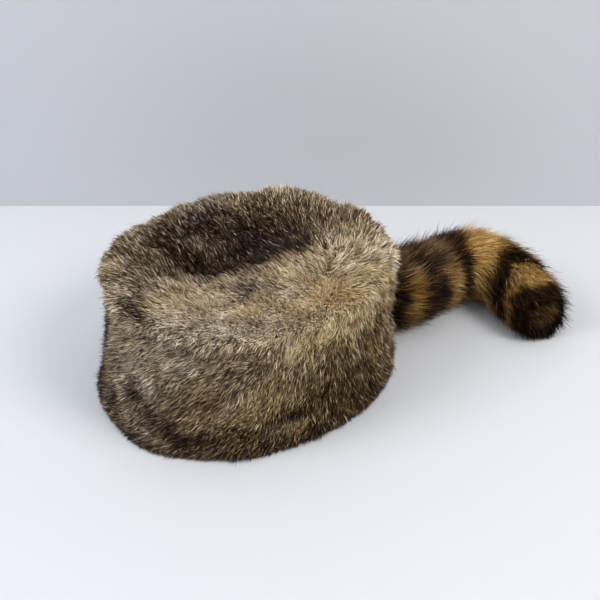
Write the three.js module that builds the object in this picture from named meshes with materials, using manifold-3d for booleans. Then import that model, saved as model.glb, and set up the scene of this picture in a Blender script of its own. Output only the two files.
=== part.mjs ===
// A fur cap: a side band of deep fur round the head, a soft crown with a puffy rim that sinks
// in the middle, and a ringed tail sewn on at the back.
// Millimetres, +Z up. The front of the hat looks towards -Y, the tail leaves towards +Y, and
// the hat stands on z = 0 with the tail lying beside it.

import * as THREE from 'three';
import { mergeVertices } from 'three/addons/utils/BufferGeometryUtils.js';
import Module from 'manifold-3d';

// Driving dimensions
const HEAD_LENGTH = 200; // head opening, front to back
const HEAD_WIDTH = 169; // head opening, side to side
const PELT_THICKNESS = 3; // the leather under the fur
const FUR_DEPTH = 19; // from the leather of the band to the tips of its fur
const CROWN_FUR_DEPTH = 13; // the same on the crown
const BAND_HEIGHT = 87; // from the surface up to the seam under the crown
const CROWN_RISE = 20; // from the seam up to the top of the rim
const CROWN_LEAN = 5.5; // how far the soft crown leans back over the band
const PIT_DEPTH = 27; // how far the crown sinks below its rim
const SQUARENESS = 2.15; // exponent of the oval plan: 2 is an ellipse
const LOCK_LENGTH = 15; // one lock of fur, root to tip
const LOCK_WIDTH = 16.4;
const LOCK_DEPTH = 5; // from the valley between two locks to their ridges
const LOCK_SWEEP = 9; // degrees that the band's locks lean round towards the front
const TAIL_LENGTH = 231; // along its middle, from the leather of the band to the tip
const TAIL_DIAMETER = 62; // over the fur, where it is thickest
const TAIL_LOCK_DEPTH = 4;
const TAIL_LOCKS_ROUND = 9;
const SEWN_GAP = 0.3; // clearance between two pieces that are sewn together

// Sizes that follow from them
const WALL = PELT_THICKNESS + FUR_DEPTH;
const HALF_LENGTH = HEAD_LENGTH / 2 + WALL;
const HALF_WIDTH = HEAD_WIDTH / 2 + WALL;
const CROWN_WALL = PELT_THICKNESS + CROWN_FUR_DEPTH;
const SEAM = BAND_HEIGHT + SEWN_GAP;
const TAIL_RADIUS = TAIL_DIAMETER / 2;
const BAND_ROWS = Math.max(2, Math.round(BAND_HEIGHT / LOCK_LENGTH));
const CROWN_ROWS = Math.max(4, Math.round((HALF_WIDTH + CROWN_RISE) / LOCK_LENGTH));
const TAIL_ROWS = Math.max(4, Math.round(TAIL_LENGTH / LOCK_LENGTH / 1.3));

// The columns of the fur run round the hat, a ridge and a valley to each lock. Their number
// divides by eight, so that it can be halved twice towards the middle of the crown.
const GIRTH = Math.PI * (HALF_LENGTH + HALF_WIDTH);
const COLUMNS = 8 * Math.max(4, Math.round(GIRTH / LOCK_WIDTH / 4));

// The outside of the band: height as a share of the band's, reach as a share of the half sizes
const BAND_PROFILE = [
  { height: 0.0, reach: 1.01 },
  { height: 0.05, reach: 1.018 },
  { height: 0.14, reach: 0.995 },
  { height: 0.3, reach: 0.968 },
  { height: 0.5, reach: 0.96 },
  { height: 0.75, reach: 0.962 },
  { height: 0.92, reach: 0.962 },
  { height: 1.0, reach: 0.945 },
];

// Folds and hollows of the band: where they lie, in degrees round from the front towards the
// left ear and as a share of the height, how far they spread, and how far they push the fur
// out, as a share of the fur's depth
const BAND_FOLDS = [
  { turn: 12, height: 0.5, spread: 4.5, tall: 0.36, push: 0.16 },
  { turn: 26, height: 0.94, spread: 13, tall: 0.14, push: -0.26 },
  { turn: -24, height: 0.96, spread: 26, tall: 0.36, push: -0.5 },
  { turn: -34, height: 0.3, spread: 24, tall: 0.3, push: -0.28 },
  { turn: 22, height: 0.02, spread: 12, tall: 0.1, push: 0.14 },
  { turn: 62, height: 0.3, spread: 24, tall: 0.28, push: 0.12 },
  { turn: 148, height: 0.5, spread: 26, tall: 0.4, push: 0.2 },
  { turn: 236, height: 0.62, spread: 16, tall: 0.3, push: -0.12 },
];

// The crown from its middle to the seam: reach as a share of the hat's half sizes, rise as a
// share of the crown's rise
const CROWN_PROFILE = [
  { along: 0.0, reach: 0.0, rise: 0.86 },
  { along: 0.36, reach: 0.42, rise: 0.93 },
  { along: 0.58, reach: 0.68, rise: 1.0 },
  { along: 0.7, reach: 0.81, rise: 1.0 },
  { along: 0.79, reach: 0.895, rise: 0.9 },
  { along: 0.87, reach: 0.955, rise: 0.7 },
  { along: 0.94, reach: 0.985, rise: 0.38 },
  { along: 1.0, reach: 0.975, rise: 0.0 },
];

// Hollows and humps of the crown: the middle of each and its half sizes as shares of the half
// width and half length, its turn in degrees, and its lift as a share of the pit's depth
const CROWN_FORMS = [
  { across: -0.3, along: 0.16, wide: 0.34, long: 0.5, turn: -12, lift: -0.8 },
  { across: -0.44, along: 0.28, wide: 0.2, long: 0.26, turn: -10, lift: -0.34 },
  { across: -0.52, along: -0.18, wide: 0.18, long: 0.2, turn: 0, lift: 0.2 },
  { across: -0.05, along: -0.3, wide: 0.24, long: 0.2, turn: 20, lift: -0.2 },
  { across: -0.62, along: 0.72, wide: 0.22, long: 0.18, turn: 30, lift: 0.1 },
  { across: -0.36, along: 0.9, wide: 0.12, long: 0.12, turn: 0, lift: -0.1 },
  { across: -0.04, along: 0.86, wide: 0.22, long: 0.16, turn: 0, lift: 0.12 },
  { across: 0.45, along: 0.25, wide: 0.3, long: 0.4, turn: 0, lift: 0.06 },
];

// The middle that the crown's locks spread from, as shares of the half sizes
const CROWN_MIDDLE = { across: -0.36, along: 0.2 };

// The rings of one row of locks, root to tip. Ridge and valley are heights as shares of the
// lock's depth, and slip is how far a ridge runs on past the valleys beside it.
const LOCK_RINGS = [
  { along: 0.0, ridge: -0.35, valley: -0.4, slip: 0.0 },
  { along: 0.5, ridge: 0.3, valley: -0.35, slip: 0.0 },
  { along: 1.0, ridge: 0.6, valley: -0.25, slip: 0.2 },
];

// The tail's middle line seen from above: its heading along the length, in degrees from
// straight back round towards the left ear
const TAIL_ROUTE = [
  { along: 0.0, heading: 11 },
  { along: 0.18, heading: 7 },
  { along: 0.3, heading: -2 },
  { along: 0.4, heading: 2 },
  { along: 0.47, heading: 18 },
  { along: 0.57, heading: 49 },
  { along: 0.67, heading: 80 },
  { along: 0.75, heading: 97 },
  { along: 0.87, heading: 114 },
  { along: 1.0, heading: 130 },
];
const TAIL_STEPS = 48; // straight steps that its middle line is laid out in
const TAIL_ROOT_TURN = 174; // degrees round from the front

// The tail's girth along its length, as shares of its radius
const TAIL_PROFILE = [
  { along: 0.0, girth: 1.0 },
  { along: 0.2, girth: 1.07 },
  { along: 0.4, girth: 1.03 },
  { along: 0.56, girth: 1.04 },
  { along: 0.8, girth: 0.9 },
  { along: 0.94, girth: 0.76 },
  { along: 1.0, girth: 0.42 },
];
const TAIL_SAG = 0.9; // height of the tail's middle, as a share of its radius there

const UPWARD = new THREE.Vector3(0, 0, 1);

const wasm = await Module();
wasm.setup();

// Value of one column of a table at a place along another, through a smooth curve
function sample(table, key, place, column) {
  const last = table.length - 1;
  let row = 0;
  while (row < last - 1 && table[row + 1][key] < place) {
    row += 1;
  }
  const from = table[row];
  const to = table[row + 1];
  const before = table[Math.max(row - 1, 0)];
  const after = table[Math.min(row + 2, last)];
  const width = to[key] - from[key];
  const share = THREE.MathUtils.clamp((place - from[key]) / width, 0, 1);
  const slopeIn = ((to[column] - before[column]) / (to[key] - before[key])) * width;
  const slopeOut = ((after[column] - from[column]) / (after[key] - from[key])) * width;
  const square = share * share;
  const cube = square * share;
  return (
    (2 * cube - 3 * square + 1) * from[column] +
    (cube - 2 * square + share) * slopeIn +
    (3 * square - 2 * cube) * to[column] +
    (cube - square) * slopeOut
  );
}

// A point of the oval plan at a turn from the front
function oval(turn, halfWidth, halfLength) {
  const sine = Math.sin(turn);
  const cosine = Math.cos(turn);
  const power = 2 / SQUARENESS;
  const x = Math.sign(sine) * Math.abs(sine) ** power * halfWidth;
  const y = -Math.sign(cosine) * Math.abs(cosine) ** power * halfLength;
  return new THREE.Vector2(x, y);
}

// How far the folds push the band's fur out at a place
function foldPush(turn, height) {
  let push = 0;
  for (const fold of BAND_FOLDS) {
    let apart = THREE.MathUtils.radToDeg(turn) - fold.turn;
    apart -= 360 * Math.round(apart / 360);
    const away = (apart / fold.spread) ** 2 + ((height - fold.height) / fold.tall) ** 2;
    push += fold.push * FUR_DEPTH * Math.exp(-away);
  }
  return push;
}

// The smooth outside of the band at a turn and a share of its height, pushed out by lift
function bandPoint(turn, height, lift) {
  const reach = sample(BAND_PROFILE, 'height', height, 'reach');
  const plan = oval(turn, HALF_WIDTH * reach, HALF_LENGTH * reach);
  const outward = new THREE.Vector2(plan.x / HALF_WIDTH ** 2, plan.y / HALF_LENGTH ** 2);
  plan.addScaledVector(outward.normalize(), foldPush(turn, height) + lift);
  plan.y += CROWN_LEAN * height ** 2;
  return new THREE.Vector3(plan.x, plan.y, BAND_HEIGHT * height);
}

// Where the middle of the tail starts: on the leather of the band, at its back
const tailRootTurn = THREE.MathUtils.degToRad(TAIL_ROOT_TURN);
const tailRootPlan = oval(tailRootTurn, HALF_WIDTH - FUR_DEPTH, HALF_LENGTH - FUR_DEPTH);

// The locks lie flat under the root of the tail: 0 there, 1 well away from it
function lockFreedom(point) {
  const aside = point.x - tailRootPlan.x;
  const above = point.z - TAIL_RADIUS * TAIL_SAG;
  const away = Math.hypot(aside, above) / TAIL_RADIUS;
  return point.y < 0 ? 1 : THREE.MathUtils.smoothstep(away, 1.2, 1.8);
}

// How far the crown's hollows and humps lift it at a place in the plan
function crownLift(plan) {
  let lift = 0;
  for (const form of CROWN_FORMS) {
    const aside = plan.x - form.across * HALF_WIDTH;
    const back = plan.y - form.along * HALF_LENGTH;
    const angle = THREE.MathUtils.degToRad(form.turn);
    const wide = (aside * Math.cos(angle) + back * Math.sin(angle)) / (form.wide * HALF_WIDTH);
    const long = (back * Math.cos(angle) - aside * Math.sin(angle)) / (form.long * HALF_LENGTH);
    lift += form.lift * PIT_DEPTH * Math.exp(-wide * wide - long * long);
  }
  return lift;
}

// The smooth outside of the crown, from its middle at along 0 to the seam at along 1. Its rim
// keeps the oval of the hat where the band under it is pushed in.
function crownPoint(turn, along) {
  const reach = sample(CROWN_PROFILE, 'along', along, 'reach');
  const rise = sample(CROWN_PROFILE, 'along', along, 'rise');
  const stay = Math.max(0, 1 - reach);
  const plan = oval(turn, HALF_WIDTH * reach, HALF_LENGTH * reach);
  plan.x += CROWN_MIDDLE.across * HALF_WIDTH * stay;
  plan.y += CROWN_MIDDLE.along * HALF_LENGTH * stay + CROWN_LEAN * reach;
  const seam = bandPoint(turn, 1, 0);
  plan.lerp(new THREE.Vector2(seam.x, seam.y), THREE.MathUtils.smoothstep(along, 0.84, 1));
  const lift = crownLift(plan) * Math.min(1, 1.25 * rise);
  return new THREE.Vector3(plan.x, plan.y, SEAM + CROWN_RISE * rise + lift);
}

// The crown's outside moved out along its own normal. Its locks sink into the seam.
function crownLock(turn, along, lift) {
  const small = 0.01;
  const point = crownPoint(turn, along);
  const round = crownPoint(turn + small, along).sub(crownPoint(turn - small, along));
  const inner = crownPoint(turn, Math.max(along - small, 0));
  const outer = crownPoint(turn, Math.min(along + small, 1));
  const normal = outer.sub(inner).cross(round).normalize();
  point.addScaledVector(normal, lift * (1 - THREE.MathUtils.smoothstep(along, 0.92, 1)));
  if (along >= 1) {
    point.z = SEAM;
  }
  return point;
}

// The rings of several rows of locks. Every second column is a ridge, and the next row down
// has its ridges between them. columnsOf gives a row's number of columns.
function lockRings(rows, columnsOf, depth, sweep, place) {
  const rings = [];
  for (let row = 0; row < rows; row += 1) {
    const columns = columnsOf(row);
    for (const step of LOCK_RINGS) {
      const ring = [];
      for (let column = 0; column < columns; column += 1) {
        const isRidge = (column + row) % 2 === 0;
        const along = Math.min((row + step.along + (isRidge ? step.slip : 0)) / rows, 1);
        const lift = (isRidge ? step.ridge : step.valley) * depth;
        ring.push(place((2 * Math.PI * column) / columns - sweep * along, along, lift));
      }
      rings.push(ring);
    }
  }
  return rings;
}

// Triangles between two rings. The rings have as many points as each other, or one has twice
// as many as the other.
function stitch(first, second, triangles) {
  const coarse = Math.min(first.length, second.length);
  for (let k = 0; k < coarse; k += 1) {
    const next = (k + 1) % coarse;
    if (first.length === second.length) {
      triangles.push([first[k], second[k], second[next]], [first[k], second[next], first[next]]);
    } else if (first.length < second.length) {
      const ends = [second[2 * k], second[2 * k + 1], second[(2 * k + 2) % second.length]];
      triangles.push([first[k], ends[0], ends[1]]);
      triangles.push([first[k], ends[1], first[next]]);
      triangles.push([first[next], ends[1], ends[2]]);
    } else {
      const ends = [first[2 * k], first[2 * k + 1], first[(2 * k + 2) % first.length]];
      triangles.push([ends[0], second[k], ends[1]]);
      triangles.push([ends[1], second[k], second[next]]);
      triangles.push([ends[1], second[next], ends[2]]);
    }
  }
}

// A closed skin over a list of rings: a loop whose last ring meets its first, or a bag that
// is closed by a fan over each end
function skin(rings, isLoop) {
  const triangles = [];
  for (let k = 0; k + 1 < rings.length; k += 1) {
    stitch(rings[k], rings[k + 1], triangles);
  }
  if (isLoop) {
    stitch(rings[rings.length - 1], rings[0], triangles);
  } else {
    fan(rings[0], true, triangles);
    fan(rings[rings.length - 1], false, triangles);
  }
  const geometry = new THREE.BufferGeometry().setFromPoints(triangles.flat());
  return mergeVertices(geometry, 1e-4);
}

// Triangles from a ring to its middle
function fan(ring, isFirst, triangles) {
  const middle = new THREE.Vector3();
  ring.forEach((point) => middle.add(point));
  middle.divideScalar(ring.length);
  ring.forEach((point, k) => {
    const next = ring[(k + 1) % ring.length];
    triangles.push(isFirst ? [middle, point, next] : [point, middle, next]);
  });
}

// The rings of the band's outside, from the seam down to the surface, grown by a clearance
function bandOutside(grow) {
  const sweep = THREE.MathUtils.degToRad(LOCK_SWEEP);
  return lockRings(BAND_ROWS, () => COLUMNS, LOCK_DEPTH, sweep, (turn, along, lift) => {
    const freedom = lockFreedom(bandPoint(turn, 1 - along, 0));
    return bandPoint(turn, 1 - along, lift * freedom + grow);
  });
}

// One ring of the band's inside, swept round as far as the outside is at that height
function bandInside(height) {
  const ring = [];
  const sweep = THREE.MathUtils.degToRad(LOCK_SWEEP) * (1 - height);
  for (let column = 0; column < COLUMNS; column += 1) {
    const turn = (2 * Math.PI * column) / COLUMNS - sweep;
    const plan = oval(turn, HEAD_WIDTH / 2, HEAD_LENGTH / 2);
    ring.push(new THREE.Vector3(plan.x, plan.y, BAND_HEIGHT * height));
  }
  return ring;
}

function bandGeometry() {
  return skin([...bandOutside(0), ...[0, 0.5, 1].map(bandInside)], true);
}

// The crown: locks spread from the middle of its pit out over the rim and down to the seam.
// Its underside lies on the band's top edge and, over the head, hangs one wall below the top.
function crownGeometry() {
  const columnsOf = (row) => {
    const share = (row + 1) / CROWN_ROWS;
    return share > 0.6 ? COLUMNS : share > 0.3 ? COLUMNS / 2 : COLUMNS / 4;
  };
  const outside = lockRings(CROWN_ROWS, columnsOf, LOCK_DEPTH, 0, crownLock);
  const inside = [];
  const steps = [
    { reach: 0.93, columns: COLUMNS },
    { reach: 0.8, columns: COLUMNS / 2 },
    { reach: 0.6, columns: COLUMNS / 2 },
    { reach: 0.38, columns: COLUMNS / 4 },
    { reach: 0.16, columns: COLUMNS / 4 },
  ];
  inside.push(crownUnderside(COLUMNS, 1));
  for (const step of steps) {
    inside.push(crownUnderside(step.columns, step.reach));
  }
  return skin([...outside, ...inside], false);
}

// One ring of the crown's underside, at a share of the head opening
function crownUnderside(columns, reach) {
  const ring = [];
  for (let column = 0; column < columns; column += 1) {
    const turn = (2 * Math.PI * column) / columns;
    const plan = oval(turn, (HEAD_WIDTH / 2) * reach, (HEAD_LENGTH / 2) * reach);
    plan.x += CROWN_MIDDLE.across * HALF_WIDTH * (1 - reach);
    plan.y += CROWN_MIDDLE.along * HALF_LENGTH * (1 - reach);
    const top = SEAM + CROWN_RISE + crownLift(plan);
    const drop = reach < 1 ? Math.min(0, top - CROWN_WALL - SEAM) : 0;
    ring.push(new THREE.Vector3(plan.x, plan.y, SEAM + drop));
  }
  return ring;
}

// The middle line of the tail, seen from above
function tailMiddleLine() {
  const step = TAIL_LENGTH / TAIL_STEPS;
  const point = new THREE.Vector3(tailRootPlan.x, tailRootPlan.y, 0);
  const points = [point.clone()];
  for (let k = 0; k < TAIL_STEPS; k += 1) {
    const heading = sample(TAIL_ROUTE, 'along', (k + 0.5) / TAIL_STEPS, 'heading');
    const angle = THREE.MathUtils.degToRad(heading);
    point.x += step * Math.sin(angle);
    point.y += step * Math.cos(angle);
    points.push(point.clone());
  }
  return new THREE.CatmullRomCurve3(points);
}

const tailRoute = tailMiddleLine();

// The fur of the tail at a turn about its middle line, moved out by lift
function tailLock(turn, along, lift) {
  const middle = tailRoute.getPointAt(along);
  const forward = tailRoute.getTangentAt(along);
  const side = new THREE.Vector3().crossVectors(forward, UPWARD);
  const radius = TAIL_RADIUS * sample(TAIL_PROFILE, 'along', along, 'girth');
  const point = middle.addScaledVector(side, (radius + lift) * Math.cos(turn));
  point.z = radius * TAIL_SAG + (radius + lift) * Math.sin(turn);
  return point;
}

// The tail is cut off where its root meets the fur of the band, and it is pressed flat where it
// lies on the surface
function tailGeometry() {
  const columnsOf = () => 2 * TAIL_LOCKS_ROUND;
  const whole = skin(lockRings(TAIL_ROWS, columnsOf, TAIL_LOCK_DEPTH, 0, tailLock), false);
  const outside = bandOutside(SEWN_GAP);
  const foot = outside[outside.length - 1].map((point) => {
    return new THREE.Vector3(point.x, point.y, -TAIL_RADIUS);
  });
  const rest = solid(whole).subtract(solid(skin([...outside, foot], false)));
  return geometryOf(rest.trimByPlane(UPWARD.toArray(), 0));
}

function solid(geometry) {
  const vertProperties = new Float32Array(geometry.attributes.position.array);
  const triVerts = new Uint32Array(geometry.index.array);
  return new wasm.Manifold(new wasm.Mesh({ numProp: 3, vertProperties, triVerts }));
}

function geometryOf(manifold) {
  const { vertProperties, triVerts } = manifold.getMesh();
  const geometry = new THREE.BufferGeometry();
  geometry.setAttribute('position', new THREE.BufferAttribute(vertProperties, 3));
  geometry.setIndex(new THREE.BufferAttribute(triVerts, 1));
  return geometry;
}

function piece(name, geometry, color) {
  const material = new THREE.MeshStandardMaterial({ color, roughness: 0.85, metalness: 0 });
  geometry.computeVertexNormals();
  const mesh = new THREE.Mesh(geometry, material);
  mesh.name = name;
  return mesh;
}

const hat = new THREE.Group();
hat.add(piece('crown', crownGeometry(), 0x94836c));
hat.add(piece('side_band', bandGeometry(), 0x6e604f));
hat.add(piece('tail', tailGeometry(), 0x7a5f41));

// The origin is the middle of the whole hat's footprint
const box = new THREE.Box3().setFromObject(hat);
const middle = box.getCenter(new THREE.Vector3());
hat.position.set(-middle.x, -middle.y, 0);

const part = new THREE.Group();
part.add(hat);

export default part;
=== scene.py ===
import itertools
import math

import bpy
import numpy as np
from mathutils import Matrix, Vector
from mathutils.kdtree import KDTree


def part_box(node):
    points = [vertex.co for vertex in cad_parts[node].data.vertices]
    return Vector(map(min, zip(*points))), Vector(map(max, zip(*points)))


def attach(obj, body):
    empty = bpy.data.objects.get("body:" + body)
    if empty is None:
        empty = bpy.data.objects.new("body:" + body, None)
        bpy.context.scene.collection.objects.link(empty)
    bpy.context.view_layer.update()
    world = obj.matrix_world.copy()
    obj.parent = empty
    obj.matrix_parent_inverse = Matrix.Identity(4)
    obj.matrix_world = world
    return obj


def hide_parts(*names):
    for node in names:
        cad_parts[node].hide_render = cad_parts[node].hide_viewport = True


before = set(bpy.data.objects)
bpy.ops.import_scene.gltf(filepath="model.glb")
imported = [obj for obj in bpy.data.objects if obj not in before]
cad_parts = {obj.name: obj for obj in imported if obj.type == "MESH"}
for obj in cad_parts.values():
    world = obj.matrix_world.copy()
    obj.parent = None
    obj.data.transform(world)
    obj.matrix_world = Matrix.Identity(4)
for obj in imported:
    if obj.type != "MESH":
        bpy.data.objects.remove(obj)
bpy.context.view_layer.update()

# A fur hat with a ringed tail: skins of pelt under coats of hair, on a plain floor.
# Its sizes are those of the CAD source, in metres.
HEAD_LENGTH = 0.200
HEAD_WIDTH = 0.169
PELT_THICKNESS = 0.003
FUR_DEPTH = 0.019
CROWN_FUR_DEPTH = 0.013
BAND_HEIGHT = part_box("side_band")[1].z
CROWN_RISE = 0.020
CROWN_LEAN = 0.0055
PIT_DEPTH = 0.027
SQUARENESS = 2.15
TAIL_LENGTH = 0.231
TAIL_RADIUS = 0.031
TAIL_SAG = 0.9
TAIL_ROOT_TURN = math.radians(174)
SEWN_GAP = 0.0003
# The middle of the hat's oval in the shared frame
HAT_MIDDLE = np.array([-0.01169, -0.07295, 0.0])

WALL = PELT_THICKNESS + FUR_DEPTH
HALF_LENGTH = HEAD_LENGTH / 2 + WALL
HALF_WIDTH = HEAD_WIDTH / 2 + WALL
CROWN_WALL = PELT_THICKNESS + CROWN_FUR_DEPTH
SEAM = BAND_HEIGHT + SEWN_GAP
FLOOR_CLEARANCE = 0.0004
TINY = 1e-9

# Hair that would reach below the surface at the foot spreads out by this share of that length
FOOT_SPREAD = 0.8
# The crown's outline joins that of the band from this place to the seam
SEAM_START = 0.84
# The crown's forms have their full depth where its rise times this comes to 1 or more
FORM_FADE = 1.25
# Beyond its tip the tail narrows over this share of its length, by this share of its radius
TIP_REACH = 0.1
TIP_NARROWING = 0.6

# Height and reach, as shares of the band's height and the half sizes
BAND_PROFILE = [
    (0.0, 1.01), (0.05, 1.018), (0.14, 0.995), (0.3, 0.968),
    (0.5, 0.96), (0.75, 0.962), (0.92, 0.962), (1.0, 0.945),
]
# Turn in degrees from the front, height, spread in degrees, tall, push as a share of the fur
BAND_FOLDS = [
    (12, 0.5, 4.5, 0.36, 0.16),
    (26, 0.94, 13, 0.14, -0.26),
    (-24, 0.96, 26, 0.36, -0.5),
    (-34, 0.3, 24, 0.3, -0.28),
    (22, 0.02, 12, 0.1, 0.14),
    (62, 0.3, 24, 0.28, 0.12),
    (148, 0.5, 26, 0.4, 0.2),
    (236, 0.62, 16, 0.3, -0.12),
]
# Along from the crown's middle to the seam, and reach or rise there
CROWN_REACH = [
    (0.0, 0.0), (0.36, 0.42), (0.58, 0.68), (0.7, 0.81),
    (0.79, 0.895), (0.87, 0.955), (0.94, 0.985), (1.0, 0.975),
]
CROWN_RISES = [
    (0.0, 0.86), (0.36, 0.93), (0.58, 1.0), (0.7, 1.0),
    (0.79, 0.9), (0.87, 0.7), (0.94, 0.38), (1.0, 0.0),
]
# Across, along, wide, long as shares of the half sizes, turn in degrees, lift
CROWN_FORMS = [
    (-0.3, 0.16, 0.34, 0.5, -12, -0.8),
    (-0.44, 0.28, 0.2, 0.26, -10, -0.34),
    (-0.52, -0.18, 0.18, 0.2, 0, 0.2),
    (-0.05, -0.3, 0.24, 0.2, 20, -0.2),
    (-0.62, 0.72, 0.22, 0.18, 30, 0.1),
    (-0.36, 0.9, 0.12, 0.12, 0, -0.1),
    (-0.04, 0.86, 0.22, 0.16, 0, 0.12),
    (0.45, 0.25, 0.3, 0.4, 0, 0.06),
]
CROWN_MIDDLE = (-0.36, 0.2)
# Along the tail, and its heading in degrees or its girth there
TAIL_ROUTE = [
    (0.0, 11), (0.18, 7), (0.3, -3), (0.4, -3), (0.47, 12),
    (0.57, 44), (0.67, 80), (0.75, 98), (0.85, 104), (1.0, 102),
]
TAIL_GIRTH = [
    (0.0, 1.08), (0.2, 1.1), (0.4, 1.03), (0.56, 1.04),
    (0.8, 0.92), (0.9, 0.83), (0.95, 0.72), (1.0, 0.52),
]

# How far the hair is swept from straight down towards the front, in degrees,
# by turn in degrees from the front: at the seam, a third of the way down, and at the foot
BAND_SWEEP = [
    (-180, 10, 12, 12), (-120, 20, 25, 25), (-60, 35, 42, 36), (-20, 42, 50, 46),
    (10, 50, 52, 50), (30, 48, 46, 46), (50, 66, 62, 60), (70, 72, 64, 66),
    (84, 64, 66, 68), (92, 58, 56, 58), (100, 44, 44, 46), (112, 34, 34, 34),
    (125, 26, 26, 26), (145, 14, 16, 16), (180, 10, 12, 12),
]
SWEEP_LEVEL = 0.35
# The way the hair of the crown points, seen from above: across and along as shares of the
# half sizes, and the heading in degrees from the hat's right
CROWN_HEADINGS = [
    (-0.8, 0.1, -135), (-0.75, -0.35, -125), (-0.5, -0.1, -112), (-0.45, 0.2, -120),
    (-0.5, -0.6, -110), (-0.3, -0.5, -97), (-0.2, -0.15, -97), (-0.2, -0.9, -98),
    (0.0, -0.7, -90), (0.2, 0.0, -105), (0.1, 0.35, -135), (0.25, -0.6, -72),
    (0.4, 0.2, -112), (0.3, -0.35, -78), (0.5, -0.4, -50), (0.6, 0.0, -75),
    (0.75, -0.2, -48), (0.8, 0.15, -35), (0.72, 0.42, 20), (0.58, 0.6, 48),
    (0.35, 0.85, 90), (0.05, 0.75, 135), (-0.3, 0.85, 125), (-0.6, 0.6, 150),
    (-0.3, 0.5, 180),
]
HEADING_REACH = 0.25
# How far round the band the crown's fur reaches: turn in degrees, and place on the hat, which
# is 1 at the seam
CROWN_EDGE = [
    (-180, 1.0), (-60, 0.95), (0, 0.82), (40, 0.83), (60, 0.85), (80, 0.9), (102, 1.0), (180, 1.0),
]
# Where, counted from that edge, the fur goes over to the way and the tone of the band
EDGE_FLOW = (-0.06, 0.14)
EDGE_TONE = (-0.04, 0.14)

# How dark and how warm the crown's fur is, and how much darker and warmer the band's
CROWN_DARK, CROWN_WARM = 0.2, 0.45
BAND_DARKER, BAND_WARMER = 0.28, 0.1
# Patches of darker or paler fur and painted shade. On the crown: across, along, wide, long, turn,
# darker, warmer.
CROWN_TONES = [
    (0.62, -0.05, 0.42, 0.62, 0, -0.2, -0.1),
    (0.45, -0.45, 0.3, 0.24, 0, -0.26, -0.3),
    (0.66, 0.15, 0.2, 0.28, 0, -0.26, -0.1),
    (0.64, -0.28, 0.14, 0.18, 0, -0.24, 0.0),
    (0.8, 0.2, 0.18, 0.28, 0, -0.32, 0.1),
    (0.62, 0.04, 0.16, 0.12, 0, 0.2, 0.0),
    (0.4, -0.1, 0.14, 0.1, 0, 0.1, 0.0),
    (0.72, -0.58, 0.2, 0.05, 40, 0.12, 0.0),
    (0.7, -0.4, 0.1, 0.1, 0, -0.14, 0.0),
    (0.36, -0.62, 0.26, 0.14, 20, -0.22, 0.0),
    (-0.68, -0.74, 0.12, 0.14, -40, 0.3, 0.0),
    (-0.94, 0.12, 0.08, 0.16, 0, 0.24, 0.0),
    (0.77, 0.14, 0.08, 0.24, 0, -0.26, 0.0),
    (0.68, 0.56, 0.12, 0.2, 0, -0.12, 0.0),
    (0.95, 0.1, 0.06, 0.16, 0, 0.06, 0.0),
    (0.82, -0.46, 0.07, 0.07, 0, 0.1, 0.0),
    (0.32, 0.58, 0.14, 0.1, 0, 0.1, 0.0),
    (0.36, 0.48, 0.08, 0.08, 0, -0.3, 0.0),
    (0.04, 0.27, 0.1, 0.1, 0, 0.1, 0.3),
    (-0.49, -0.11, 0.11, 0.11, 0, -0.2, -0.2),
    (-0.36, 0.1, 0.1, 0.12, 0, 0.2, 0.0),
    (-0.62, 0.26, 0.13, 0.16, 0, -0.18, 0.0),
    (-0.48, 0.74, 0.14, 0.14, 0, 0.1, 0.0),
    (0.26, -0.56, 0.12, 0.1, 0, -0.14, 0.0),
    (0.75, 0.5, 0.4, 0.5, 0, 0.04, 0.3),
    (0.38, -0.2, 0.14, 0.1, 0, 0.24, -0.1),
    (0.78, -0.5, 0.1, 0.1, 0, 0.16, 0.0),
    (0.38, -0.8, 0.12, 0.06, 0, 0.22, -0.1),
    # The darker patches from here to the one at (0.14, 0.68) lie in and round the pit and its dark
    # arms: partly the fur's own dark tone, partly painted shade of the hollow.
    (-0.47, 0.24, 0.26, 0.32, -20, 0.52, 0.0),
    (-0.12, 0.22, 0.2, 0.24, -10, 0.9, 0.3),
    (-0.18, -0.18, 0.24, 0.2, 20, 0.74, 0.3),
    (0.06, 0.0, 0.14, 0.14, 0, 0.4, 0.2),
    (-0.7, -0.04, 0.16, 0.28, 0, 0.46, -0.2),
    (-0.54, -0.32, 0.2, 0.18, 0, 0.46, 0.2),
    (-0.3, 0.52, 0.24, 0.18, 20, 0.46, 0.2),
    (0.0, 0.44, 0.14, 0.14, 0, 0.56, 0.3),
    (-0.64, 0.48, 0.16, 0.16, 0, 0.38, 0.1),
    (-0.1, 0.82, 0.28, 0.18, -20, 0.3, 0.1),
    (-0.42, 0.76, 0.22, 0.16, 0, 0.24, 0.1),
    (0.1, 0.94, 0.2, 0.14, 0, 0.34, 0.0),
    (0.14, 0.68, 0.16, 0.14, 0, 0.12, 0.0),
    (-0.3, -0.58, 0.26, 0.12, 0, 0.26, 0.0),
    (-0.4, -0.76, 0.3, 0.1, 0, -0.12, 0.0),
    (-0.12, -0.72, 0.1, 0.08, 0, 0.2, 0.0),
    (0.04, -0.8, 0.1, 0.07, 0, 0.2, 0.0),
    (0.15, -0.84, 0.1, 0.07, 0, 0.6, 0.0),
    (0.28, -0.87, 0.12, 0.05, 0, 0.44, -0.2),
]
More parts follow.
